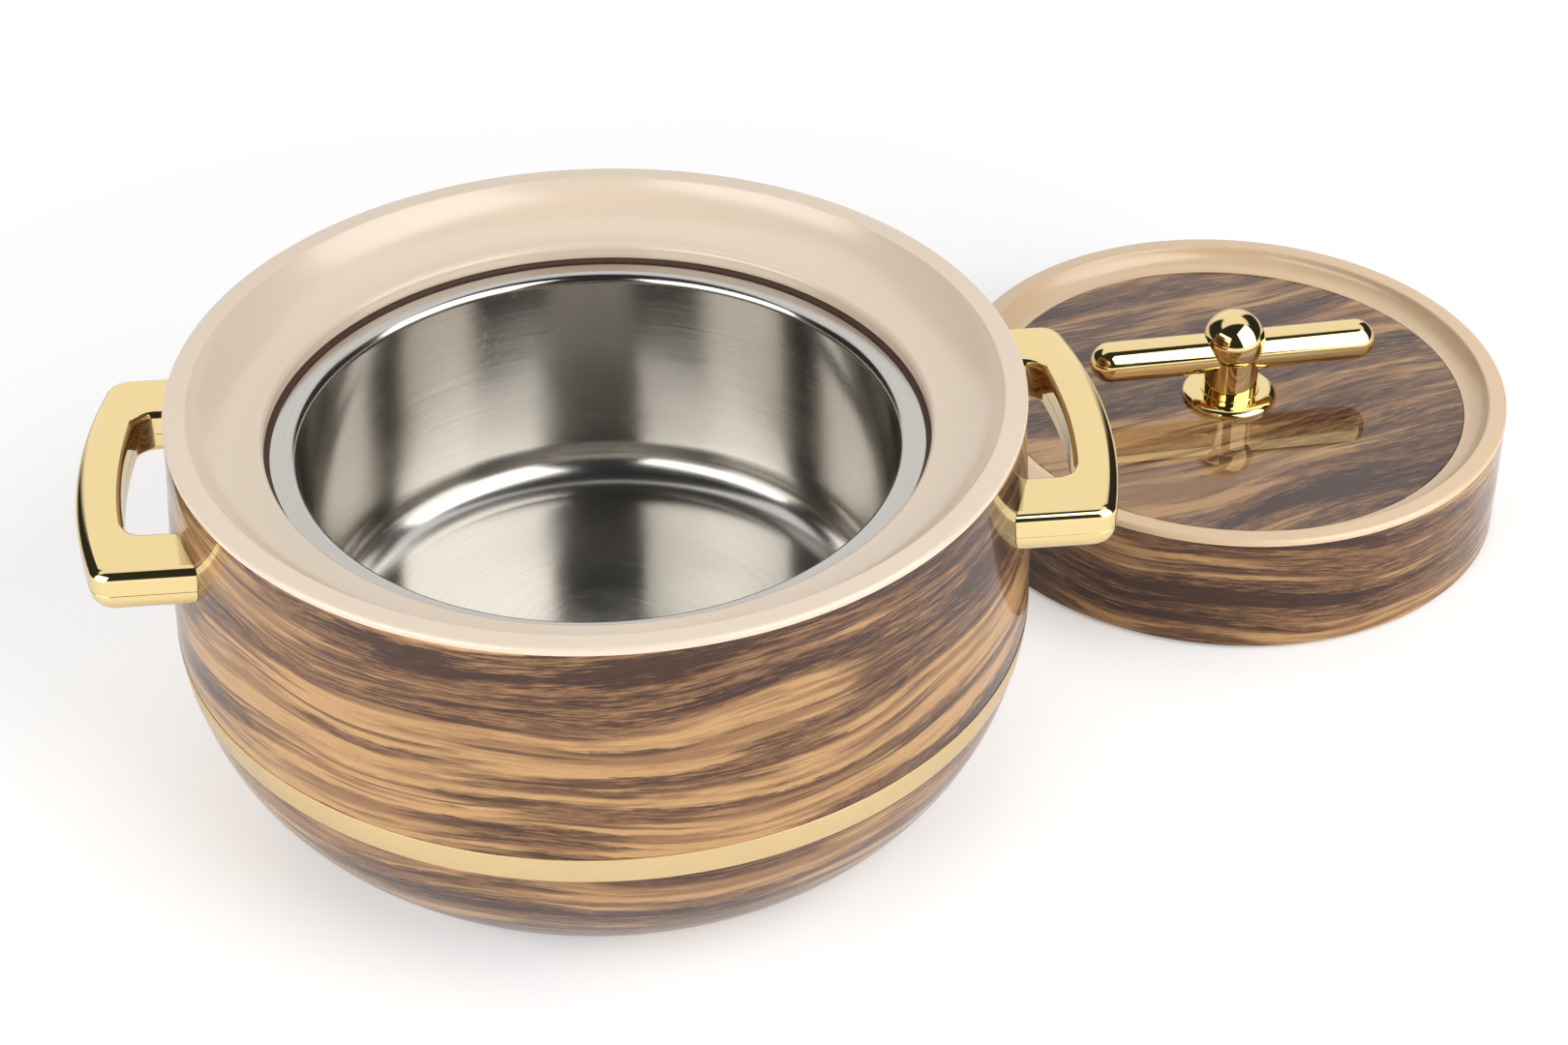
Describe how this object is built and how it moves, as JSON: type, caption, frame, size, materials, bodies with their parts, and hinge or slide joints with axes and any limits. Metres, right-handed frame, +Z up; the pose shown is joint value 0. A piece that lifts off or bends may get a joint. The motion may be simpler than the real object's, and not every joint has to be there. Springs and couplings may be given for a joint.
{
  "type": "insulated casserole",
  "caption": "Round double-walled serving pot with steel bowl, cream rim collar and gold loop handles, and a drum lid with a crossbar knob lying beside it.",
  "frame": {"origin": "the pot's axis on the surface it stands on", "axes": "+Z up along the pot's axis, +X through the right handle, on the side where the lid lies"},
  "size_m": [0.4614, 0.3262, 0.1274],
  "materials": {
    "wood_print": "gloss lacquer over a wood-pattern print",
    "cream_plastic": "satin gloss moulded cream plastic",
    "brushed_steel": "spun and brushed stainless steel",
    "gold_plate": "mirror-bright gold plating",
    "gold_foil": "satin gold foil under lacquer",
    "dark_silicone": "matte silicone",
    "foam": "rigid polyurethane foam",
    "base_plastic": "fine-grained moulded plastic",
    "screw_steel": "zinc-plated steel"
  },
  "bodies": {
    "pot": {"outer_shell": "wood_print", "rim_collar": "cream_plastic", "inner_bowl": "brushed_steel", "bowl_gasket": "dark_silicone", "body_foam": "foam", "base_cover": "base_plastic", "base_screws": "screw_steel", "fill_plug": "dark_silicone", "gold_band": "gold_foil", "handle_upper_right": "gold_plate", "handle_lower_right": "gold_plate", "handle_upper_left": "gold_plate", "handle_lower_left": "gold_plate", "handle_screws_right": "screw_steel", "handle_screws_left": "screw_steel", "handle_washers_right": "screw_steel", "handle_washers_left": "screw_steel"},
    "lid": {"lid_shell": "wood_print", "lid_rim": "cream_plastic", "lid_disc": "wood_print", "lid_foam": "foam", "lid_liner": "brushed_steel", "lid_seal": "dark_silicone", "knob_flange": "gold_plate", "knob_post": "gold_plate", "knob_bar": "gold_plate", "knob_bolt": "screw_steel", "knob_washer": "screw_steel"}
  },
  "joints": [
    {"name": "lid_lift", "type": "slide", "parent": "pot", "child": "lid", "axis": [0, 0, 1], "range_m": [0, 0.15]}
  ]
}
